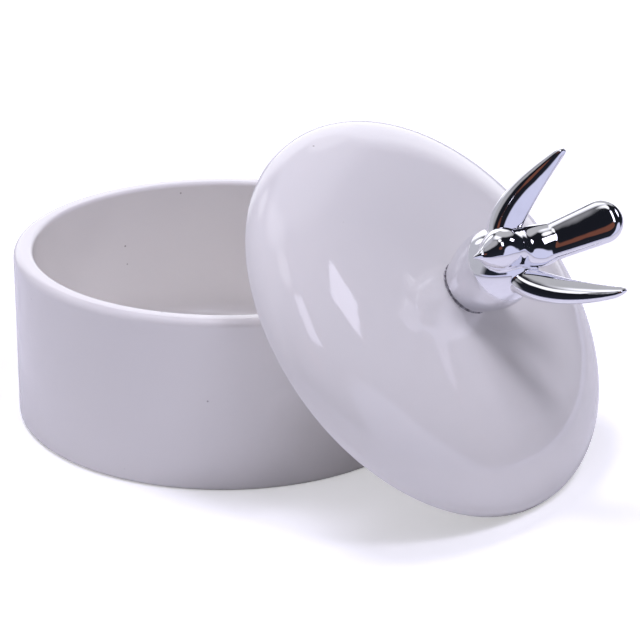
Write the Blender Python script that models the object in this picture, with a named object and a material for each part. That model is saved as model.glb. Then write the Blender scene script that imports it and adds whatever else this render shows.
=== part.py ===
"""Glazed ceramic trinket box with a lifted-off lid and a silver swallow for a knob.

Metres, +Z up. The origin is the centre of the cup's flat base, and +Z is the cup's axis.
The lid leans against the cup, as it does when the box stands open: its lower edge is on
the table and its flat underside rests on the cup's rim.
"""
import math

import bmesh
import bpy
from mathutils import Matrix, Vector

MM = 0.001
GAP = 0.3 * MM                  # air left between pieces that touch

# Cup
CUP_RADIUS = 50.0 * MM
CUP_HEIGHT = 41.0 * MM
CUP_WALL = 4.5 * MM
CUP_FLOOR = 4.5 * MM
CUP_FOOT_ROUND = 1.2 * MM       # outer edge at the table
CUP_INNER_FILLET = 4.0 * MM     # where the inner wall meets the floor

# Lid, in its own frame: z = 0 is the seat that lies on the cup's rim
LID_RADIUS = 49.15 * MM
LID_EDGE_ROUND = 0.4 * MM       # lower edge, between seat and side
LID_SIDE_TOP = 1.6 * MM         # where the dome starts
LID_HEIGHT = 13.7 * MM          # seat to apex
LID_ROUNDNESS = 0.47            # superellipse powers of the dome: small is a tight shoulder
LID_CROWN = 1.10
PLUG_RADIUS = 44.6 * MM         # locating step inside the cup's mouth
PLUG_DEPTH = 1.8 * MM
PLUG_ROUND = 0.8 * MM

# How the lid leans: tilt from the horizontal, and the heading its top side faces
LEAN_ANGLE = math.radians(47.2)
LEAN_HEADING = math.radians(-36.7)
LEAN_OFFSET = 1.4 * MM          # how far the lid stands to one side of the cup's middle

# Swallow knob, in its own frame: origin on the lid's apex, +x towards the tail,
# +y across the wings, +z away from the lid
BIRD_TURN = math.radians(73.9)  # tail direction, about the lid's axis from its downhill side
BREAST_X = 1.1 * MM             # centre of the foot
BREAST_LEAN = 1.4 * MM          # how far the shoulders sit behind the foot
BREAST_TOP = 17.5 * MM
FOOT_RADIUS = 6.2 * MM
BREAST_RADIUS = 8.3 * MM        # half its length fore and aft
BREAST_SPREAD = 0.7 * MM        # extra half width across the wings
TAIL_ROOT = Vector((7.0, 0.0, 19.8)) * MM
TAIL_END = Vector((18.9, 0.0, 33.3)) * MM
TAIL_ROOT_HALF_WIDTH = 4.2 * MM
TAIL_END_HALF_WIDTH = 5.3 * MM
TAIL_HALF_THICKNESS = 2.0 * MM
WING_HALF_THICKNESS = 1.9 * MM  # at the root
WING_TAPER = 0.66               # share of the thickness lost by the tip
WING_CAP_START = 0.93           # where the blunt round tip begins, as a share of the span

# Glue
BEAD_WIDTH = 0.5 * MM
BEAD_HEIGHT = 0.45 * MM
BEAD_STEPS = 40

TURN_STEPS = 80                 # facets round the cup and the lid
DOME_STEPS = 14
ARC_STEPS = 5
BREAST_STEPS = 12
TAIL_STEPS = 10
WING_STEPS = 14


def clear_scene():
    for old in list(bpy.data.objects):
        bpy.data.objects.remove(old, do_unlink=True)


def material(name, colour, roughness, metallic):
    made = bpy.data.materials.new(name)
    made.use_nodes = True
    shader = made.node_tree.nodes["Principled BSDF"]
    shader.inputs["Base Color"].default_value = (*colour, 1.0)
    shader.inputs["Roughness"].default_value = roughness
    shader.inputs["Metallic"].default_value = metallic
    return made


def arc(centre, radius, start_deg, end_deg, steps=ARC_STEPS):
    """Points of an arc in the (r, z) plane, ends included."""
    points = []
    for i in range(steps + 1):
        angle = math.radians(start_deg + (end_deg - start_deg) * i / steps)
        points.append((centre[0] + radius * math.cos(angle), centre[1] + radius * math.sin(angle)))
    return points


def turned(name, profile, surface, steps=TURN_STEPS, closed=False):
    """Solid of revolution about +Z.

    The profile runs up the outer side. It starts and ends on the axis, or, when closed,
    goes round a ring's section.
    """
    mesh = bmesh.new()
    rings = []
    for radius, height in profile:
        if radius < 1e-9:
            rings.append([mesh.verts.new((0.0, 0.0, height))])
            continue
        ring = []
        for k in range(steps):
            angle = 2.0 * math.pi * k / steps
            ring.append(mesh.verts.new((radius * math.cos(angle), radius * math.sin(angle), height)))
        rings.append(ring)
    pairs = list(zip(rings, rings[1:]))
    if closed:
        pairs.append((rings[-1], rings[0]))
    for low, high in pairs:
        for k in range(steps):
            after = (k + 1) % steps
            corners = [low[k % len(low)], low[after % len(low)], high[after % len(high)], high[k % len(high)]]
            unique = []
            for corner in corners:
                if corner not in unique:
                    unique.append(corner)
            mesh.faces.new(unique)
    return finish(name, mesh, surface)


def finish(name, mesh, surface):
    bmesh.ops.recalc_face_normals(mesh, faces=mesh.faces)
    data = bpy.data.meshes.new(name)
    mesh.to_mesh(data)
    mesh.free()
    data.materials.append(surface)
    data.shade_smooth()
    data.set_sharp_from_angle(angle=math.radians(40.0))
    made = bpy.data.objects.new(name, data)
    bpy.context.scene.collection.objects.link(made)
    return made


def loft(name, sections, surface, steps=24):
    """Closed body through elliptical sections: (centre, half-width vector, half-height vector)."""
    mesh = bmesh.new()
    rings = []
    for centre, across, up in sections:
        ring = []
        for k in range(steps):
            angle = 2.0 * math.pi * k / steps
            ring.append(mesh.verts.new(centre + across * math.cos(angle) + up * math.sin(angle)))
        rings.append(ring)
    for low, high in zip(rings, rings[1:]):
        for k in range(steps):
            after = (k + 1) % steps
            mesh.faces.new((low[k], low[after], high[after], high[k]))
    mesh.faces.new(list(reversed(rings[0])))
    mesh.faces.new(rings[-1])
    return finish(name, mesh, surface)


def cup_profile():
    rim = CUP_WALL / 2.0
    inner = CUP_RADIUS - CUP_WALL
    foot = arc((CUP_RADIUS - CUP_FOOT_ROUND, CUP_FOOT_ROUND), CUP_FOOT_ROUND, -90.0, 0.0)
    lip = arc((CUP_RADIUS - rim, CUP_HEIGHT - rim), rim, 0.0, 180.0, 2 * ARC_STEPS)
    fillet = arc((inner - CUP_INNER_FILLET, CUP_FLOOR + CUP_INNER_FILLET), CUP_INNER_FILLET, 0.0, -90.0)
    return [(0.0, 0.0), *foot, *lip, *fillet, (0.0, CUP_FLOOR)]


def dome_point(turn):
    """Point of the dome's outline: turn 0 at the side, 90 degrees at the apex."""
    radius = LID_RADIUS * math.cos(turn) ** LID_ROUNDNESS
    height = LID_SIDE_TOP + (LID_HEIGHT - LID_SIDE_TOP) * math.sin(turn) ** LID_CROWN
    return radius, height


def lid_profile():
    plug = arc((PLUG_RADIUS - PLUG_ROUND, PLUG_ROUND - PLUG_DEPTH), PLUG_ROUND, -90.0, 0.0, 3)
    edge = arc((LID_RADIUS - LID_EDGE_ROUND, LID_EDGE_ROUND), LID_EDGE_ROUND, -90.0, 0.0, 3)
    dome = []
    for i in range(DOME_STEPS):
        # steps crowd towards the shoulder, where the outline bends most
        share = i / DOME_STEPS
        dome.append(dome_point(math.pi / 2.0 * (1.0 - (1.0 - share) ** 1.6)))
    return [(0.0, -PLUG_DEPTH), *plug, (PLUG_RADIUS, 0.0), *edge, *dome, (0.0, LID_HEIGHT)]


def lid_placement():
    """World matrix of the lid: its edge on the table, its underside on the cup's rim."""
    rim = CUP_WALL / 2.0
    sine, cosine = math.sin(LEAN_ANGLE), math.cos(LEAN_ANGLE)
    # seat's centre above the table, from the lowest point of the rounded edge
    height = (LID_RADIUS - LID_EDGE_ROUND) * sine - LID_EDGE_ROUND * cosine + LID_EDGE_ROUND
    # distance of the rim's tangent plane from the origin, along the lid's axis
    support = (CUP_RADIUS - rim) * sine + (CUP_HEIGHT - rim) * cosine + rim
    reach = (support + GAP + PLUG_DEPTH - height * cosine) / sine
    heading = Matrix.Rotation(LEAN_HEADING, 4, "Z")
    place = heading @ Matrix.Translation((reach, LEAN_OFFSET, height))
    return place @ Matrix.Rotation(LEAN_ANGLE, 4, "Y")


def breast(surface):
    """Bulb that carries the bird, from its foot on the lid up to the shoulders."""
    sections = []
    for i in range(BREAST_STEPS + 1):
        share = i / BREAST_STEPS
        z = GAP + (BREAST_TOP - GAP) * share
        if share < 0.5:
            swell = math.sin(math.pi * share)
            deep = FOOT_RADIUS + (BREAST_RADIUS - FOOT_RADIUS) * swell
            wide = FOOT_RADIUS + (BREAST_RADIUS + BREAST_SPREAD - FOOT_RADIUS) * swell
        else:
            swell = math.sqrt(max(1.0 - ((share - 0.5) / 0.53) ** 2, 0.02))
            deep = BREAST_RADIUS * swell
            wide = (BREAST_RADIUS + BREAST_SPREAD) * swell
        centre = Vector((BREAST_X + BREAST_LEAN * share, 0.0, z))
        sections.append((centre, Vector((deep, 0.0, 0.0)), Vector((0.0, wide, 0.0))))
    return loft("breast", sections, surface, 32)


def between(stations, steps):
    """Smooth curve through the stations (Catmull-Rom), steps points to each stretch."""
    points = []
    for i in range(len(stations) - 1):
        before = stations[max(i - 1, 0)]
        start, end = stations[i], stations[i + 1]
        after = stations[min(i + 2, len(stations) - 1)]
        for k in range(steps):
            t = k / steps
            point = []
            for a, b, c, d in zip(before, start, end, after):
                point.append(0.5 * (2.0 * b + (c - a) * t + (2.0 * a - 5.0 * b + 4.0 * c - d) * t ** 2
                                    + (3.0 * b - a - 3.0 * c + d) * t ** 3))
            points.append(point)
    points.append(list(stations[-1]))
    return points


def head_and_back(surface):
    """Beak, head, nape and back, as one spine in the bird's plane of symmetry."""
    # x, z, half width and half depth, in millimetres
    stations = [
        (-10.5, 14.5, 0.25, 0.25),  # beak tip
        (-8.5, 14.7, 1.1, 0.9),
        (-6.5, 15.0, 2.9, 2.4),     # face
        (-4.0, 15.7, 4.4, 3.9),
        (-1.2, 16.4, 4.7, 4.2),     # crown
        (1.3, 16.8, 3.9, 3.5),      # nape
        (3.6, 17.4, 4.6, 2.9),
        (6.2, 19.0, 5.0, 2.8),      # back
        (9.0, 21.8, 4.2, 2.3),      # rump
        (11.5, 24.6, 3.2, 1.4),
    ]
    spine = between(stations, 3)
    sections = []
    for i, (x, z, wide, deep) in enumerate(spine):
        ahead = spine[min(i + 1, len(spine) - 1)]
        behind = spine[max(i - 1, 0)]
        along = Vector((ahead[0] - behind[0], 0.0, ahead[1] - behind[1])).normalized()
        up = Vector((-along.z, 0.0, along.x))
        sections.append((Vector((x, 0.0, z)) * MM, Vector((0.0, wide * MM, 0.0)), up * deep * MM))
    return loft("head_and_back", sections, surface, 24)


def rounded(distance, radius, least):
    """Share of full size this far from a round end of that radius."""
    short = max(1.0 - distance / radius, 0.0)
    return math.sqrt(max(1.0 - short * short, least))


def tail(surface):
    """Paddle tail: straight, a little wider towards its round end."""
    span = TAIL_END - TAIL_ROOT
    along = span.normalized()
    up = Vector((-along.z, 0.0, along.x))
    sections = []
    for i in range(TAIL_STEPS + 1):
        share = math.sin(math.pi / 2.0 * i / TAIL_STEPS)
        left = span.length * (1.0 - share)
        wide = TAIL_ROOT_HALF_WIDTH + (TAIL_END_HALF_WIDTH - TAIL_ROOT_HALF_WIDTH) * share
        across = Vector((0.0, wide * rounded(left, wide, 0.01), 0.0))
        deep = TAIL_HALF_THICKNESS * rounded(left, 1.3 * TAIL_HALF_THICKNESS, 0.04)
        sections.append((TAIL_ROOT + span * share, across, up * deep))
    return loft("tail", sections, surface, 24)


def bezier(points, t):
    a, b, c, d = points
    s = 1.0 - t
    return a * s ** 3 + b * 3.0 * s * s * t + c * 3.0 * s * t * t + d * t ** 3


def wing(side, surface):
    """Leaf-shaped wing, swept back and up from inside the breast; side is +1 or -1."""
    leading = [Vector((-1.2, 3.0, 12.0)), Vector((-2.9, 12.0, 13.7)), Vector((7.0, 16.6, 20.7)),
               Vector((12.3, 18.3, 29.9))]
    trailing = [Vector((4.4, 2.5, 15.0)), Vector((7.2, 8.0, 19.8)), Vector((10.4, 12.4, 24.4)),
                Vector((13.8, 17.1, 31.3))]
    mirror = Vector((1.0, side, 1.0)) * MM
    sections = []
    for i in range(WING_STEPS + 1):
        t = math.sin(math.pi / 2.0 * i / WING_STEPS)
        front, back = bezier(leading, t) * mirror, bezier(trailing, t) * mirror
        ahead = (bezier(leading, t + 0.02) + bezier(trailing, t + 0.02)) / 2.0 * mirror
        middle = (front + back) / 2.0
        beyond = max((t - WING_CAP_START) / (1.0 - WING_CAP_START), 0.0)
        across = (back - front) / 2.0 * math.sqrt(1.0 - 0.96 * beyond ** 2)
        up = across.cross(ahead - middle).normalized() * side
        thick = WING_HALF_THICKNESS * (1.0 - WING_TAPER * t)
        sections.append((middle, across, up * min(thick, across.length * 0.75)))
    return loft(f"wing_{side}", sections, surface, 16)


def join(target, pieces):
    for piece in pieces:
        union = target.modifiers.new(piece.name, "BOOLEAN")
        union.operation = "UNION"
        union.solver = "EXACT"
        union.object = piece
        piece.hide_render = True
        piece.display_type = "WIRE"


def bead_profile():
    """Section of the glue ring: flat underneath, rounded on top."""
    half = BEAD_WIDTH / 2.0
    middle = FOOT_RADIUS + 1.3 * GAP + half
    points = []
    for i in range(6):
        angle = math.pi * i / 5.0
        points.append((middle + half * math.cos(angle), GAP + BEAD_HEIGHT * math.sin(angle)))
    return points


def main():
    clear_scene()
    glaze = material("white_glaze", (0.84, 0.82, 0.86), 0.12, 0.0)
    silver = material("silver_plate", (0.86, 0.87, 0.89), 0.04, 1.0)
    glue = material("glue", (0.55, 0.52, 0.50), 0.35, 0.0)

    turned("box_body", cup_profile(), glaze)

    lid_frame = bpy.data.objects.new("lid_frame", None)
    bird_frame = bpy.data.objects.new("bird_frame", None)
    for frame in (lid_frame, bird_frame):
        bpy.context.scene.collection.objects.link(frame)
    lid_frame.matrix_world = lid_placement()
    bird_frame.parent = lid_frame
    bird_frame.location = (0.0, 0.0, LID_HEIGHT)
    bird_frame.rotation_euler = (0.0, 0.0, BIRD_TURN)

    lid = turned("lid", lid_profile(), glaze)
    lid.parent = lid_frame

    bird = head_and_back(silver)
    bird.name = "bird_knob"
    pieces = [breast(silver), tail(silver), wing(1, silver), wing(-1, silver)]
    for piece in (bird, *pieces):
        piece.parent = bird_frame
    join(bird, pieces)

    bead = turned("adhesive_bead", bead_profile(), glue, steps=BEAD_STEPS, closed=True)
    bead.parent = bird_frame
    bead.location = (BREAST_X, 0.0, 0.0)


main()
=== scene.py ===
"""Looks for a glazed ceramic trinket box with a silver swallow knob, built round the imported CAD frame."""

import math

import bmesh
import bpy
import numpy as np
from mathutils import Matrix, Vector, noise


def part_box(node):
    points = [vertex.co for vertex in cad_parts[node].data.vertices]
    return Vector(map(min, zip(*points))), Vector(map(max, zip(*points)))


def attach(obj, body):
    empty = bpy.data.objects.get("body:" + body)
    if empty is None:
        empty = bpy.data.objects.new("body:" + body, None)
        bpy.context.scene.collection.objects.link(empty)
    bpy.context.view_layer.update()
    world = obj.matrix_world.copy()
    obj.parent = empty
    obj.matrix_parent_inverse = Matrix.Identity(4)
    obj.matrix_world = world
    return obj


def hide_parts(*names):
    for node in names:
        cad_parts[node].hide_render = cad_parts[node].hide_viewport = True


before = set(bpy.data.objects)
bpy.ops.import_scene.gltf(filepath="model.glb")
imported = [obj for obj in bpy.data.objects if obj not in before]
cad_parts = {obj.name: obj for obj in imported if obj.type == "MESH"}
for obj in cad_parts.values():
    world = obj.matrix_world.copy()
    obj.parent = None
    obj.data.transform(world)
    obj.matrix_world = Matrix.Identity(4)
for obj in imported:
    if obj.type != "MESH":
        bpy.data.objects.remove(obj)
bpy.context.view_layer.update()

MM = 0.001

# Cup: its outside comes from its CAD node; wall, floor, foot and fillet repeat the CAD's values
CUP_LOW, CUP_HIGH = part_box("box_body")
CUP_RADIUS = (CUP_HIGH.x - CUP_LOW.x) / 2.0
CUP_HEIGHT = CUP_HIGH.z
CUP_WALL = 4.5 * MM
CUP_FLOOR = 4.5 * MM
FOOT_ROUND = 1.2 * MM
LIP_OUTER = 1.9 * MM    # the lip is a little flatter than the CAD's full round
LIP_INNER = 1.1 * MM
INNER_FILLET = 4.0 * MM
CUP_STEPS = 256
CUP_WAVER = 0.06 * MM
CLAY_REACH = 0.3 * MM    # bare clay: how high it reaches from the table

# Lid, in its own frame: z = 0 is the seat that lies on the cup's rim when it is closed
LID_RADIUS = 49.15 * MM
LID_EDGE_ROUND = 0.4 * MM
LID_SIDE_TOP = 1.6 * MM
LID_HEIGHT = 13.7 * MM
LID_ROUNDNESS = 0.47
LID_CROWN = 1.10
PLUG_RADIUS = 44.6 * MM
PLUG_DEPTH = 1.8 * MM
PLUG_ROUND = 0.8 * MM
DOME_STEPS = 72
DOME_CROWDING = 1.6      # rings lie closer together towards the apex
LID_WAVER = 0.10 * MM
SEAT_REACH = 0.1 * MM    # bare clay: how far it reaches above the seat

# Swallow, in mm, in its own frame: origin on the lid's apex, +x to the tail, +y across the wings
BIRD_TURN = math.radians(73.9)
BREAST_X = 1.1
FOOT_RADIUS = 6.2
BREAST_RADIUS = 8.3
BREAST_SPREAD = 0.7          # extra half width across the wings
BREAST_LEAN = 1.4            # how far the shoulders sit behind the foot
BREAST_TOP = 17.5
BREAST_STEPS = 40
FOOT_LIFT = 0.05
TAIL_ROOT = Vector((7.0, -0.3, 19.8))
TAIL_END = Vector((18.9, -0.3, 33.3))
TAIL_HALF_WIDTH = 4.2        # at the root
TAIL_WIDENING = 1.1          # by the end
TAIL_HALF_THICKNESS = 2.1    # at the root
TAIL_THINNING = 0.3          # by the end
TAIL_EDGE_LENGTH = 2.6       # over which the thickness rounds off at the end
TAIL_SQUARENESS = 0.78
TAIL_STEPS = 48
WING_HALF_THICKNESS = 2.2    # at the root
WING_TAPER = 0.66            # share of the thickness lost by the tip
WING_CAP_START = 0.93        # where the blunt round tip begins, as a share of the span
WING_CAP_LENGTH = 0.07
WING_STEPS = 48
SKIN_VOXEL = 0.19
SOFTEN_ROUNDS = 14

# Glue line, in mm
GLUE_HALF_WIDTH = 0.16
GLUE_HEIGHT = 0.20
GLUE_OFFSET = 0.15           # from the swallow's foot to the middle of the line
GLUE_STEPS_AROUND = 160
GLUE_STEPS_ACROSS = 10

# Camera
CAMERA_AT = Vector((22.6, -492.4, 219.5)) * MM
CAMERA_PITCH = math.radians(21.9)
CAMERA_ROLL = math.radians(0.81)
CAMERA_LENS = 124.1

# Floor: extra brightness for the lens
FLOOR_LIFT = 0.40


# ---------------------------------------------------------------- meshes

def arc(centre, radius, start_deg, end_deg, steps):
    """Points of an arc in the (r, z) plane, ends included."""
    points = []
    for i in range(steps + 1):
        angle = math.radians(start_deg + (end_deg - start_deg) * i / steps)
        points.append((centre[0] + radius * math.cos(angle), centre[1] + radius * math.sin(angle)))
    return points


def line(start, end, steps):
    """Points between two ends, both left out."""
    points = []
    for i in range(1, steps):
        share = i / steps
        points.append((start[0] + (end[0] - start[0]) * share, start[1] + (end[1] - start[1]) * share))
    return points


def turned(profile, steps):
    """bmesh of a solid of revolution; the profile starts and ends on the axis."""
    mesh = bmesh.new()
    rings = []
    for radius, height in profile:
        if radius < 1e-9:
            rings.append([mesh.verts.new((0.0, 0.0, height))])
            continue
        ring = []
        for k in range(steps):
            angle = 2.0 * math.pi * k / steps
            ring.append(mesh.verts.new((radius * math.cos(angle), radius * math.sin(angle), height)))
        rings.append(ring)
    for low, high in zip(rings, rings[1:]):
        for k in range(steps):
            after = (k + 1) % steps
            corners = [low[k % len(low)], low[after % len(low)],
                       high[after % len(high)], high[k % len(high)]]
            unique = []
            for corner in corners:
                if corner not in unique:
                    unique.append(corner)
            mesh.faces.new(unique)
    bmesh.ops.recalc_face_normals(mesh, faces=mesh.faces)
    return mesh


def loft(mesh, sections, steps):
    """Adds a closed body through rings of points; each section is a function of the turn angle."""
    rings = []
    for section in sections:
        rings.append([mesh.verts.new(section(2.0 * math.pi * k / steps)) for k in range(steps)])
    faces = []
    for low, high in zip(rings, rings[1:]):
        for k in range(steps):
            after = (k + 1) % steps
            faces.append(mesh.faces.new((low[k], low[after], high[after], high[k])))
    faces.append(mesh.faces.new(list(reversed(rings[0]))))
    faces.append(mesh.faces.new(rings[-1]))
    bmesh.ops.recalc_face_normals(mesh, faces=faces)


def place(name, mesh, matrix, surfaces, sharp_deg=50.0):
    """Object from a bmesh, its points moved into the frame."""
    data = bpy.data.meshes.new(name)
    mesh.to_mesh(data)
    mesh.free()
    data.transform(matrix)
    for surface in surfaces:
        data.materials.append(surface)
    data.shade_smooth()
    data.set_sharp_from_angle(angle=math.radians(sharp_deg))
    made = bpy.data.objects.new(name, data)
    bpy.context.scene.collection.objects.link(made)
    return made


def waver(mesh, amount, scale, seed):
    """Hand-finished unevenness: every point moves a little along its normal."""
    mesh.normal_update()
    offset = Vector((seed * 7.3, seed * 3.1, seed * 5.7))
    moves = []
    for vert in mesh.verts:
        moves.append(vert.normal * amount * noise.noise(vert.co * scale + offset))
    for vert, move in zip(mesh.verts, moves):
        vert.co += move


def lid_matrix():
    """World matrix of the lid's seat, worked out from its CAD node's points."""
    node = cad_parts["lid"]
    points = np.array([tuple(v.co) for v in node.data.vertices])
    points = np.unique(np.round(points, 6), axis=0)
    middle = points.mean(axis=0)
    axes = np.linalg.eigh(np.cov((points - middle).T))[1]
    axis = Vector(axes[:, 0])
    if axis.z < 0.0:
        axis = -axis
    top = max(float(np.dot(p - middle, axis)) for p in points)
    seat = Vector(middle) + axis * (top - LID_HEIGHT)
    downhill = (Vector((0.0, 0.0, -1.0)) - axis * -axis.z).normalized()
    across = axis.cross(downhill)
    matrix = Matrix((downhill, across, axis)).transposed().to_4x4()
    return Matrix.Translation(seat) @ matrix


# ---------------------------------------------------------------- materials

def shader_material(name):
    made = bpy.data.materials.new(name)
    made.use_nodes = True
    return made, made.node_tree.nodes, made.node_tree.links, made.node_tree.nodes["Principled BSDF"]


def add(nodes, kind, **values):
    """New node; attributes by name, sockets by name with _ for a space."""
    node = nodes.new(kind)
    for key, value in values.items():
        socket = key.replace("_", " ")
        if socket in node.inputs:
            node.inputs[socket].default_value = value
        else:
            setattr(node, key, value)
    return node


def ramp(nodes, stops):
    node = nodes.new("ShaderNodeValToRGB")
    elements = node.color_ramp.elements
    while len(elements) < len(stops):
        elements.new(0.5)
    for element, (position, colour) in zip(elements, stops):
        element.position = position
        element.color = colour
    return node


def glaze(name, colour, warm, roughness):
    """Glossy white glaze: faint clouding, orange-peel ripple, pinholes and specks."""
    made, nodes, links, shader = shader_material(name)
    shader.inputs["IOR"].default_value = 1.52
    shader.inputs["Coat Weight"].default_value = 0.35
    shader.inputs["Coat Roughness"].default_value = 0.05
    shader.inputs["Subsurface Weight"].default_value = 0.06
    shader.inputs["Subsurface Radius"].default_value = (0.9, 0.8, 0.75)
    shader.inputs["Subsurface Scale"].default_value = 0.0015
    where = add(nodes, "ShaderNodeTexCoord")
    cloud = add(nodes, "ShaderNodeTexNoise", Scale=22.0, Detail=4.0, Roughness=0.55)
    links.new(where.outputs["Object"], cloud.inputs["Vector"])
    tint = ramp(nodes, [(0.35, (*colour, 1.0)), (0.68, (*warm, 1.0))])
    links.new(cloud.outputs["Fac"], tint.inputs["Fac"])
    # pinholes: the middles of sparse cells
    cells = add(nodes, "ShaderNodeTexVoronoi", Scale=160.0, Randomness=1.0)
    links.new(where.outputs["Object"], cells.inputs["Vector"])
    hole = ramp(nodes, [(0.02, (1, 1, 1, 1)), (0.05, (0, 0, 0, 1))])
    links.new(cells.outputs["Distance"], hole.inputs["Fac"])
    chosen = ramp(nodes, [(0.60, (0, 0, 0, 1)), (0.61, (1, 1, 1, 1))])
    links.new(cells.outputs["Color"], chosen.inputs["Fac"])
    pin = add(nodes, "ShaderNodeMath", operation="MULTIPLY")
    links.new(hole.outputs["Color"], pin.inputs[0])
    links.new(chosen.outputs["Color"], pin.inputs[1])
    mixed = add(nodes, "ShaderNodeMixRGB")
    mixed.inputs["Color2"].default_value = (0.40, 0.35, 0.33, 1.0)
    links.new(pin.outputs["Value"], mixed.inputs["Fac"])
    links.new(tint.outputs["Color"], mixed.inputs["Color1"])
    links.new(mixed.outputs["Color"], shader.inputs["Base Color"])
    # gloss varies a little with a second, finer cloud
    sheen = add(nodes, "ShaderNodeTexNoise", Scale=60.0, Detail=3.0)
    links.new(where.outputs["Object"], sheen.inputs["Vector"])
    gloss = add(nodes, "ShaderNodeMapRange", From_Min=0.3, From_Max=0.7,
                To_Min=roughness * 0.8, To_Max=roughness * 1.3)
    links.new(sheen.outputs["Fac"], gloss.inputs["Value"])
    links.new(gloss.outputs["Result"], shader.inputs["Roughness"])
    # orange peel and pinholes in relief
    peel = add(nodes, "ShaderNodeTexNoise", Scale=190.0, Detail=2.0)
    links.new(where.outputs["Object"], peel.inputs["Vector"])
    ripple = add(nodes, "ShaderNodeBump", Strength=0.10, Distance=0.0004)
    links.new(peel.outputs["Fac"], ripple.inputs["Height"])
    pit = add(nodes, "ShaderNodeBump", Strength=0.6, Distance=0.0002, invert=True)
    links.new(pin.outputs["Value"], pit.inputs["Height"])
    links.new(ripple.outputs["Normal"], pit.inputs["Normal"])
    links.new(pit.outputs["Normal"], shader.inputs["Normal"])
    return made


def bisque():
    """Unglazed, fired clay on the faces that stood in the kiln."""
    made, nodes, links, shader = shader_material("bisque")
    where = add(nodes, "ShaderNodeTexCoord")
    grain = add(nodes, "ShaderNodeTexNoise", Scale=900.0, Detail=6.0, Roughness=0.7)
    links.new(where.outputs["Object"], grain.inputs["Vector"])
    tint = ramp(nodes, [(0.3, (0.60, 0.56, 0.52, 1)), (0.7, (0.74, 0.71, 0.67, 1))])
    links.new(grain.outputs["Fac"], tint.inputs["Fac"])
    links.new(tint.outputs["Color"], shader.inputs["Base Color"])
    shader.inputs["Roughness"].default_value = 0.85
    bump = add(nodes, "ShaderNodeBump", Strength=0.5, Distance=0.0002)
    links.new(grain.outputs["Fac"], bump.inputs["Height"])
    links.new(bump.outputs["Normal"], shader.inputs["Normal"])
    return made


def silver():
    """Mirror plate with faint haze and a soft polishing ripple."""
    made, nodes, links, shader = shader_material("silver_plate")
    where = add(nodes, "ShaderNodeTexCoord")
    shader.inputs["Metallic"].default_value = 1.0
    haze = add(nodes, "ShaderNodeTexNoise", Scale=260.0, Detail=4.0)
    links.new(where.outputs["Object"], haze.inputs["Vector"])
    tint = ramp(nodes, [(0.3, (0.90, 0.90, 0.93, 1)), (0.75, (0.84, 0.84, 0.87, 1))])
    links.new(haze.outputs["Fac"], tint.inputs["Fac"])
    links.new(tint.outputs["Color"], shader.inputs["Base Color"])
    gloss = add(nodes, "ShaderNodeMapRange", From_Min=0.35, From_Max=0.75, To_Min=0.015, To_Max=0.07)
    links.new(haze.outputs["Fac"], gloss.inputs["Value"])
    links.new(gloss.outputs["Result"], shader.inputs["Roughness"])
    wave = add(nodes, "ShaderNodeTexNoise", Scale=170.0, Detail=1.0)
    links.new(where.outputs["Object"], wave.inputs["Vector"])
    bump = add(nodes, "ShaderNodeBump", Strength=0.12, Distance=0.0006)
    links.new(wave.outputs["Fac"], bump.inputs["Height"])
    links.new(bump.outputs["Normal"], shader.inputs["Normal"])
    return made


def glue():
    """Cured adhesive in grey, with painted shade and dark reflection as near-black patches along the seam
    and painted glints as a few bright flecks.
    """
    made, nodes, links, shader = shader_material("glue")
    where = add(nodes, "ShaderNodeTexCoord")
    shade_and_glint_noise = add(nodes, "ShaderNodeTexNoise", Scale=1400.0, Detail=5.0, Roughness=0.7)
    links.new(where.outputs["Object"], shade_and_glint_noise.inputs["Vector"])
    # painted light: the near-black stop is painted seam shade and dark reflection, the near-white stop is
    # painted glints; the grey stop is the glue's own colour
    tint = ramp(nodes, [(0.38, (0.10, 0.09, 0.10, 1)), (0.52, (0.42, 0.40, 0.42, 1)),
                        (0.68, (0.80, 0.79, 0.82, 1))])
    links.new(shade_and_glint_noise.outputs["Fac"], tint.inputs["Fac"])
    links.new(tint.outputs["Color"], shader.inputs["Base Color"])
    shader.inputs["Roughness"].default_value = 0.28
    bump = add(nodes, "ShaderNodeBump", Strength=0.7, Distance=0.0003)
    links.new(shade_and_glint_noise.outputs["Fac"], bump.inputs["Height"])
    links.new(bump.outputs["Normal"], shader.inputs["Normal"])
    return made


def floor_material():
    made, nodes, links, shader = shader_material("floor")
    where = add(nodes, "ShaderNodeTexCoord")
    paper = add(nodes, "ShaderNodeTexNoise", Scale=30.0, Detail=3.0)
    links.new(where.outputs["Object"], paper.inputs["Vector"])
    tint = ramp(nodes, [(0.3, (0.90, 0.90, 0.91, 1)), (0.7, (0.93, 0.93, 0.94, 1))])
    links.new(paper.outputs["Fac"], tint.inputs["Fac"])
    links.new(tint.outputs["Color"], shader.inputs["Base Color"])
    shader.inputs["Roughness"].default_value = 0.9
    shader.inputs["Specular IOR Level"].default_value = 0.1
    # lifted to white paper for the lens only, so that it doesn't flood the pottery with light
    path = nodes.new("ShaderNodeLightPath")
    lift = add(nodes, "ShaderNodeMath", operation="MULTIPLY")
    lift.inputs[1].default_value = FLOOR_LIFT
    links.new(path.outputs["Is Camera Ray"], lift.inputs[0])
    shader.inputs["Emission Color"].default_value = (1.0, 1.0, 1.0, 1.0)
    links.new(lift.outputs["Value"], shader.inputs["Emission Strength"])
    return made


# ---------------------------------------------------------------- cup

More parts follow.
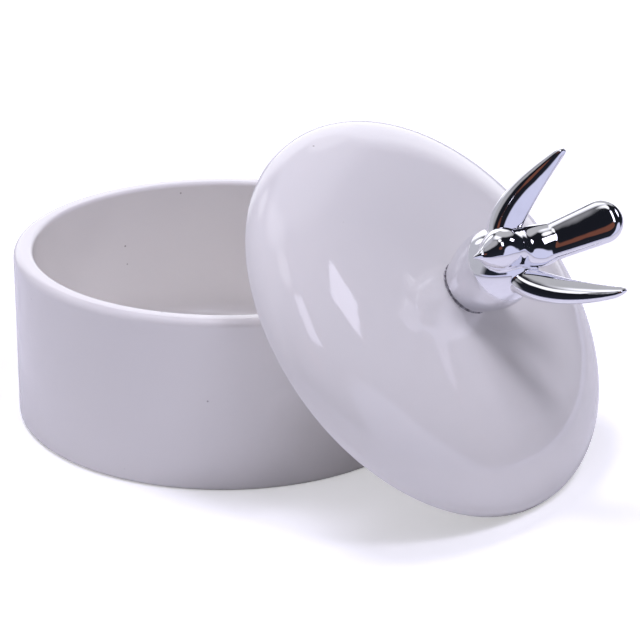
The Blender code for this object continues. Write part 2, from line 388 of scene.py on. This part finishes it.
def make_cup(glazed, clay):
    inner = CUP_RADIUS - CUP_WALL
    foot = arc((CUP_RADIUS - FOOT_ROUND, FOOT_ROUND), FOOT_ROUND, -90.0, 0.0, 10)
    lip = [*arc((CUP_RADIUS - LIP_OUTER, CUP_HEIGHT - LIP_OUTER), LIP_OUTER, 0.0, 90.0, 18),
           *arc((inner + LIP_INNER, CUP_HEIGHT - LIP_INNER), LIP_INNER, 90.0, 180.0, 14)]
    corner = arc((inner - INNER_FILLET, CUP_FLOOR + INNER_FILLET), INNER_FILLET, 0.0, -90.0, 16)
    under = [(0.0, 0.0), *line((0.0, 0.0), foot[0], 14)]
    profile = [*under, *foot, *line(foot[-1], lip[0], 40), *lip, *line(lip[-1], corner[0], 34),
               *corner, *line(corner[-1], (0.0, CUP_FLOOR), 24), (0.0, CUP_FLOOR)]
    mesh = turned(profile, CUP_STEPS)
    waver(mesh, CUP_WAVER, 28.0, 1)
    for vert in mesh.verts:
        vert.co.z = max(vert.co.z, 0.0)
    for face in mesh.faces:
        face.material_index = 1 if face.calc_center_median().z < CLAY_REACH else 0
    cup = place("cup", mesh, Matrix.Identity(4), [glazed, clay])
    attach(cup, "cup")
    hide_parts("box_body")
    return cup


# ---------------------------------------------------------------- lid

def dome_point(turn):
    radius = LID_RADIUS * math.cos(turn) ** LID_ROUNDNESS
    height = LID_SIDE_TOP + (LID_HEIGHT - LID_SIDE_TOP) * math.sin(turn) ** LID_CROWN
    return radius, height


def make_lid(matrix, glazed, clay):
    plug = arc((PLUG_RADIUS - PLUG_ROUND, PLUG_ROUND - PLUG_DEPTH), PLUG_ROUND, -90.0, 0.0, 8)
    edge = arc((LID_RADIUS - LID_EDGE_ROUND, LID_EDGE_ROUND), LID_EDGE_ROUND, -90.0, 0.0, 8)
    dome = []
    for i in range(DOME_STEPS):
        share = i / DOME_STEPS
        dome.append(dome_point(math.pi / 2.0 * (1.0 - (1.0 - share) ** DOME_CROWDING)))
    profile = [(0.0, -PLUG_DEPTH), *line((0.0, -PLUG_DEPTH), plug[0], 12), *plug, (PLUG_RADIUS, 0.0),
               *line((PLUG_RADIUS, 0.0), edge[0], 4), *edge, *dome, (0.0, LID_HEIGHT)]
    mesh = turned(profile, CUP_STEPS)
    waver(mesh, LID_WAVER, 24.0, 2)
    for face in mesh.faces:
        middle = face.calc_center_median()
        seat = middle.z < SEAT_REACH and math.hypot(middle.x, middle.y) > PLUG_RADIUS - 2.0 * PLUG_ROUND
        face.material_index = 1 if seat else 0
    lid = place("lid_glazed", mesh, matrix, [glazed, clay])
    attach(lid, "lid")
    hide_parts("lid")
    return lid


# ---------------------------------------------------------------- swallow

def between(stations, steps):
    """Smooth curve through the stations (Catmull-Rom), steps points to each stretch."""
    points = []
    for i in range(len(stations) - 1):
        before = stations[max(i - 1, 0)]
        start, end = stations[i], stations[i + 1]
        after = stations[min(i + 2, len(stations) - 1)]
        for k in range(steps):
            t = k / steps
            point = []
            for a, b, c, d in zip(before, start, end, after):
                point.append(0.5 * (2.0 * b + (c - a) * t + (2.0 * a - 5.0 * b + 4.0 * c - d) * t ** 2
                                    + (3.0 * b - a - 3.0 * c + d) * t ** 3))
            points.append(point)
    points.append(list(stations[-1]))
    return points


def signed_power(value, power):
    return math.copysign(abs(value) ** power, value)


def oval(centre, across, up, power):
    """Section of a body: an ellipse at power 1, squarer as the power falls."""
    def point(angle):
        return (centre + across * signed_power(math.cos(angle), power)
                + up * signed_power(math.sin(angle), power))
    return point


def spine_sections():
    """Beak, head, nape and back; x, y, z of the middle, half width and half depth, in mm."""
    stations = [
        (-10.5, 0.0, 14.5, 0.25, 0.25),
        (-8.5, 0.2, 14.7, 1.1, 0.9),
        (-6.5, 0.5, 15.0, 2.9, 2.4),
        (-4.0, 0.8, 15.7, 4.4, 3.9),
        (-1.2, 0.9, 16.4, 4.7, 4.2),
        (1.3, 0.6, 16.8, 4.4, 3.7),
        (3.6, 0.2, 17.4, 4.7, 3.2),
        (6.2, 0.0, 19.0, 5.0, 2.8),
        (9.0, 0.0, 21.8, 4.2, 2.3),
        (11.5, 0.0, 24.6, 3.2, 1.4),
    ]
    spine = between(stations, 8)
    sections = []
    for i, (x, y, z, wide, deep) in enumerate(spine):
        ahead, behind = spine[min(i + 1, len(spine) - 1)], spine[max(i - 1, 0)]
        along = Vector((ahead[0] - behind[0], 0.0, ahead[2] - behind[2])).normalized()
        up = Vector((-along.z, 0.0, along.x))
        sections.append(oval(Vector((x, y, z)), Vector((0.0, wide, 0.0)), up * deep, 1.0))
    return sections


def tail_sections():
    """Paddle tail: straight, a little wider towards its round end."""
    along = (TAIL_END - TAIL_ROOT).normalized()
    up = Vector((-along.z, 0.0, along.x))
    length = (TAIL_END - TAIL_ROOT).length
    sections = []
    for i in range(TAIL_STEPS + 1):
        reach = length * math.sin(0.5 * math.pi * i / TAIL_STEPS)
        wide = TAIL_HALF_WIDTH + TAIL_WIDENING * reach / length
        left = length - reach
        cap = math.sqrt(max(1.0 - max(1.0 - left / wide, 0.0) ** 2, 0.004))
        edge = math.sqrt(max(1.0 - max(1.0 - left / TAIL_EDGE_LENGTH, 0.0) ** 2, 0.02))
        deep = (TAIL_HALF_THICKNESS - TAIL_THINNING * reach / length) * edge
        across = Vector((0.0, wide * cap, 0.0))
        sections.append(oval(TAIL_ROOT + along * reach, across, up * deep, TAIL_SQUARENESS))
    return sections


def breast_sections():
    """Bulb from the foot up to the shoulders, broader across the wings than fore and aft."""
    sections = []
    for i in range(BREAST_STEPS + 1):
        share = i / BREAST_STEPS
        z = FOOT_LIFT + (BREAST_TOP - FOOT_LIFT) * share
        if share < 0.5:
            swell = math.sin(math.pi * share)
        else:
            swell = math.sqrt(max(1.0 - ((share - 0.5) / 0.53) ** 2, 0.02))
        if share < 0.5:
            deep = FOOT_RADIUS + (BREAST_RADIUS - FOOT_RADIUS) * swell
            wide = FOOT_RADIUS + (BREAST_RADIUS + BREAST_SPREAD - FOOT_RADIUS) * swell
        else:
            deep = BREAST_RADIUS * swell
            wide = (BREAST_RADIUS + BREAST_SPREAD) * swell
        centre = Vector((BREAST_X + BREAST_LEAN * share, 0.0, z))
        sections.append(oval(centre, Vector((deep, 0.0, 0.0)), Vector((0.0, wide, 0.0)), 1.0))
    return sections


def bezier(points, t):
    a, b, c, d = points
    s = 1.0 - t
    return a * s ** 3 + b * 3.0 * s * s * t + c * 3.0 * s * t * t + d * t ** 3


def blade(front, back, up, thick):
    """Wing section: round and full at the leading edge, thin at the trailing edge."""
    def point(angle):
        along = 0.5 - 0.5 * math.cos(angle)
        height = math.copysign(thick * math.sqrt(along) * (1.0 - 0.9 * along) / 0.41, math.sin(angle))
        return front.lerp(back, along) + up * height
    return point


def wing_sections(side):
    """Leaf-shaped wing, swept back and up, with a blunt round tip."""
    leading = [Vector((-1.2, 3.0, 12.0)), Vector((-2.9, 12.0, 13.7)), Vector((7.0, 16.6, 20.7)),
               Vector((12.3, 18.3, 29.9))]
    trailing = [Vector((3.9, 2.5, 14.8)), Vector((6.7, 8.1, 19.5)), Vector((10.2, 12.5, 24.3)),
                Vector((13.8, 17.1, 31.3))]
    mirror = Vector((1.0, side, 1.0))
    sections = []
    for i in range(WING_STEPS + 1):
        t = i / WING_STEPS
        front, back = bezier(leading, t) * mirror, bezier(trailing, t) * mirror
        middle = (front + back) / 2.0
        ahead = (bezier(leading, t + 0.015) + bezier(trailing, t + 0.015)) / 2.0 * mirror
        up = (back - front).cross(ahead - middle).normalized() * side
        cap = math.sqrt(1.0 - 0.985 * max((t - WING_CAP_START) / WING_CAP_LENGTH, 0.0) ** 2)
        thick = WING_HALF_THICKNESS * (1.0 - WING_TAPER * t) * cap
        front, back = middle.lerp(front, cap), middle.lerp(back, cap)
        sections.append(blade(front, back, up, min(thick, (back - front).length * 0.4)))
    return sections


def make_bird(matrix, plate):
    mesh = bmesh.new()
    loft(mesh, spine_sections(), 64)
    loft(mesh, tail_sections(), 64)
    loft(mesh, breast_sections(), 96)
    for side in (1.0, -1.0):
        loft(mesh, wing_sections(side), 48)
    rough = place("swallow_parts", mesh, Matrix.Identity(4), [plate])
    skin = rough.modifiers.new("skin", "REMESH")
    skin.mode = "VOXEL"
    skin.voxel_size = SKIN_VOXEL
    skin.adaptivity = 0.0
    soften = rough.modifiers.new("soften", "SMOOTH")
    soften.factor = 0.5
    soften.iterations = SOFTEN_ROUNDS
    bpy.context.view_layer.update()
    evaluated = rough.evaluated_get(bpy.context.evaluated_depsgraph_get())
    data = bpy.data.meshes.new_from_object(evaluated)
    bpy.data.objects.remove(rough, do_unlink=True)
    data.name = "swallow"
    data.transform(matrix @ Matrix.Scale(MM, 4))
    if not data.materials:
        data.materials.append(plate)
    data.shade_smooth()
    bird = bpy.data.objects.new("swallow", data)
    bpy.context.scene.collection.objects.link(bird)
    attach(bird, "lid")
    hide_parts("bird_knob")
    return bird


def make_glue(matrix, surface):
    """Ragged ring of squeezed-out glue round the swallow's foot."""
    mesh = bmesh.new()
    around, across = GLUE_STEPS_AROUND, GLUE_STEPS_ACROSS
    rings = []
    for k in range(around):
        angle = 2.0 * math.pi * k / around
        way = Vector((math.cos(angle), math.sin(angle), 0.0))
        rag = noise.noise(way * 5.0 + Vector((3.0, 1.0, 4.0)))
        fine = noise.noise(way * 17.0 + Vector((8.0, 2.0, 6.0)))
        half = GLUE_HALF_WIDTH * (1.0 + 0.6 * rag + 0.7 * fine)
        tall = GLUE_HEIGHT * (1.0 + 0.6 * rag + 0.7 * fine)
        middle = FOOT_RADIUS + GLUE_OFFSET + 0.08 * rag
        ring = []
        for j in range(across):
            turn = 2.0 * math.pi * j / across
            radius = middle + half * math.cos(turn)
            height = max(0.06 + tall * math.sin(turn), 0.04)
            ring.append(mesh.verts.new(Vector((BREAST_X, 0.0, height)) + way * radius))
        rings.append(ring)
    for k in range(around):
        low, high = rings[k], rings[(k + 1) % around]
        for j in range(across):
            after = (j + 1) % across
            mesh.faces.new((low[j], high[j], high[after], low[after]))
    bmesh.ops.recalc_face_normals(mesh, faces=mesh.faces)
    bead = place("glue_bead", mesh, matrix @ Matrix.Scale(MM, 4), [surface])
    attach(bead, "lid")
    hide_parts("adhesive_bead")
    return bead


# ---------------------------------------------------------------- stage, light and camera

def make_stage():
    mesh = bmesh.new()
    bmesh.ops.create_grid(mesh, x_segments=2, y_segments=2, size=6.0)
    ground = place("ground", mesh, Matrix.Translation((0.0, 0.0, -0.05 * MM)), [floor_material()])


def area_light(name, at, towards, width, height, power, colour):
    data = bpy.data.lights.new(name, "AREA")
    data.shape = "RECTANGLE"
    data.size = width
    data.size_y = height
    data.energy = power
    data.color = colour
    made = bpy.data.objects.new(name, data)
    made.location = at
    made.rotation_euler = (Vector(towards) - Vector(at)).to_track_quat("-Z", "Y").to_euler()
    made.visible_camera = False
    bpy.context.scene.collection.objects.link(made)
    return made


def toward(azimuth, elevation):
    """Unit vector; azimuth in degrees from the back of the box towards its right."""
    turn, rise = math.radians(azimuth), math.radians(elevation)
    return Vector((math.sin(turn) * math.cos(rise), math.cos(turn) * math.cos(rise), math.sin(rise)))


def make_lights():
    middle = Vector((0.02, -0.01, 0.03))
    cool = (0.845, 0.82, 1.0)
    # name, azimuth, elevation, distance, width, height, power, seen in reflections
    lamps = [
        ("key", 124.0, 67.0, 1.8, 0.46, 0.46, 8.7, False),
        ("top", -55.0, 69.0, 1.8, 0.60, 0.60, 15.5, False),
        ("left_fill", -125.0, 17.0, 1.85, 1.6, 1.2, 2.2, False),
        ("right_box", 91.0, 49.0, 1.25, 0.22, 0.22, 0.52, True),
        ("front_box", 161.0, 57.0, 1.25, 0.22, 0.38, 0.69, True),
    ]
    for name, azimuth, elevation, distance, width, height, power, seen in lamps:
        at = middle + toward(azimuth, elevation) * distance
        lamp = area_light(name, at, middle, width, height, power, cool)
        lamp.visible_glossy = seen


def world_patch(nodes, links, direction, inner_deg, outer_deg):
    """Mask of a round patch of sky about a direction; returns its output."""
    where = nodes.new("ShaderNodeTexCoord")
    dot = nodes.new("ShaderNodeVectorMath")
    dot.operation = "DOT_PRODUCT"
    dot.inputs[1].default_value = direction
    links.new(where.outputs["Generated"], dot.inputs[0])
    mask = add(nodes, "ShaderNodeMapRange", From_Min=math.cos(math.radians(outer_deg)),
               From_Max=math.cos(math.radians(inner_deg)))
    links.new(dot.outputs["Value"], mask.inputs["Value"])
    return mask.outputs["Result"]


def make_world():
    """White to the camera, a soft cool sky to the light, a dim studio to the reflections."""
    world = bpy.data.worlds.new("studio")
    bpy.context.scene.world = world
    world.use_nodes = True
    nodes, links = world.node_tree.nodes, world.node_tree.links
    output = nodes["World Output"]
    white = nodes["Background"]
    white.inputs["Color"].default_value = (1.0, 1.0, 1.0, 1.0)
    sky = nodes.new("ShaderNodeBackground")
    sky.inputs["Color"].default_value = (0.82, 0.80, 1.0, 1.0)
    sky.inputs["Strength"].default_value = 0.24

    # studio by elevation: pale near the horizon, dark above
    where = nodes.new("ShaderNodeTexCoord")
    split = nodes.new("ShaderNodeSeparateXYZ")
    links.new(where.outputs["Generated"], split.inputs["Vector"])
    height = ramp(nodes, [(0.0, (0.60, 0.59, 0.80, 1)), (0.06, (0.55, 0.55, 0.78, 1)),
                          (0.08, (0.016, 0.019, 0.028, 1)), (0.8, (0.010, 0.011, 0.016, 1))])
    links.new(split.outputs["Z"], height.inputs["Fac"])
    colour = height.outputs["Color"]
    patches = [
        # azimuth, elevation, colour, inner and outer angle
        (-85.0, 12.0, (0.52, 0.52, 0.58, 1), 44.0, 58.0),    # pale wall on the left
        (-50.0, 76.0, (1.3, 1.3, 1.4, 1), 8.0, 19.0),        # glow of the lamp above
        (0.0, 10.0, (1.50, 1.50, 1.60, 1), 32.0, 44.0),      # backdrop behind the box
        (15.0, 60.0, (0.50, 0.50, 0.53, 1), 20.0, 27.0),     # reflector over the back
        (12.0, 41.0, (1.10, 1.10, 1.15, 1), 6.0, 9.0),       # its bright lower end
        (132.0, 17.0, (0.66, 0.67, 0.90, 1), 20.0, 24.0),    # cool screen, front right,
        (132.0, 0.0, (0.66, 0.67, 0.90, 1), 26.0, 32.0),     # and its foot
        (-125.0, 57.0, (0.42, 0.42, 0.45, 1), 9.0, 17.0),    # dim ceiling on the left
        (-50.0, 45.0, (1.40, 1.40, 1.45, 1), 6.0, 9.0),      # bare lamp, back left
        (-165.0, 76.0, (1.20, 1.20, 1.25, 1), 6.0, 9.0),     # bare lamp overhead
        (178.0, 41.0, (0.17, 0.062, 0.043, 1), 6.5, 9.0),   # warm timber above the lens
    ]
    for azimuth, elevation, shade, inner_deg, outer_deg in patches:
        mask = world_patch(nodes, links, toward(azimuth, elevation), inner_deg, outer_deg)
        blend = nodes.new("ShaderNodeMixRGB")
        blend.inputs["Color2"].default_value = shade
        links.new(mask, blend.inputs["Fac"])
        links.new(colour, blend.inputs["Color1"])
        colour = blend.outputs["Color"]
    studio = nodes.new("ShaderNodeBackground")
    links.new(colour, studio.inputs["Color"])

    path = nodes.new("ShaderNodeLightPath")
    lit = nodes.new("ShaderNodeMixShader")
    links.new(path.outputs["Is Glossy Ray"], lit.inputs["Fac"])
    links.new(sky.outputs["Background"], lit.inputs[1])
    links.new(studio.outputs["Background"], lit.inputs[2])
    shown = nodes.new("ShaderNodeMixShader")
    links.new(path.outputs["Is Camera Ray"], shown.inputs["Fac"])
    links.new(lit.outputs["Shader"], shown.inputs[1])
    links.new(white.outputs["Background"], shown.inputs[2])
    links.new(shown.outputs["Shader"], output.inputs["Surface"])


def make_camera():
    data = bpy.data.cameras.new("camera")
    data.sensor_width = 36.0
    data.lens = CAMERA_LENS
    data.clip_start = 0.01
    camera = bpy.data.objects.new("camera", data)
    camera.matrix_world = (Matrix.Translation(CAMERA_AT)
                           @ Matrix.Rotation(math.pi / 2.0 - CAMERA_PITCH, 4, "X")
                           @ Matrix.Rotation(CAMERA_ROLL, 4, "Z"))
    bpy.context.scene.collection.objects.link(camera)
    bpy.context.scene.camera = camera


def main():
    bpy.context.scene.view_settings.view_transform = "Standard"
    lid_at = lid_matrix()
    bird_at = lid_at @ Matrix.Translation((0.0, 0.0, LID_HEIGHT)) @ Matrix.Rotation(BIRD_TURN, 4, "Z")
    clay = bisque()
    make_cup(glaze("cup_glaze", (0.89, 0.87, 0.832), (0.905, 0.885, 0.84), 0.16), clay)
    make_lid(lid_at, glaze("lid_glaze", (0.885, 0.872, 0.835), (0.905, 0.885, 0.84), 0.06), clay)
    make_bird(bird_at, silver())
    make_glue(bird_at, glue())
    make_stage()
    make_lights()
    make_world()
    make_camera()


main()
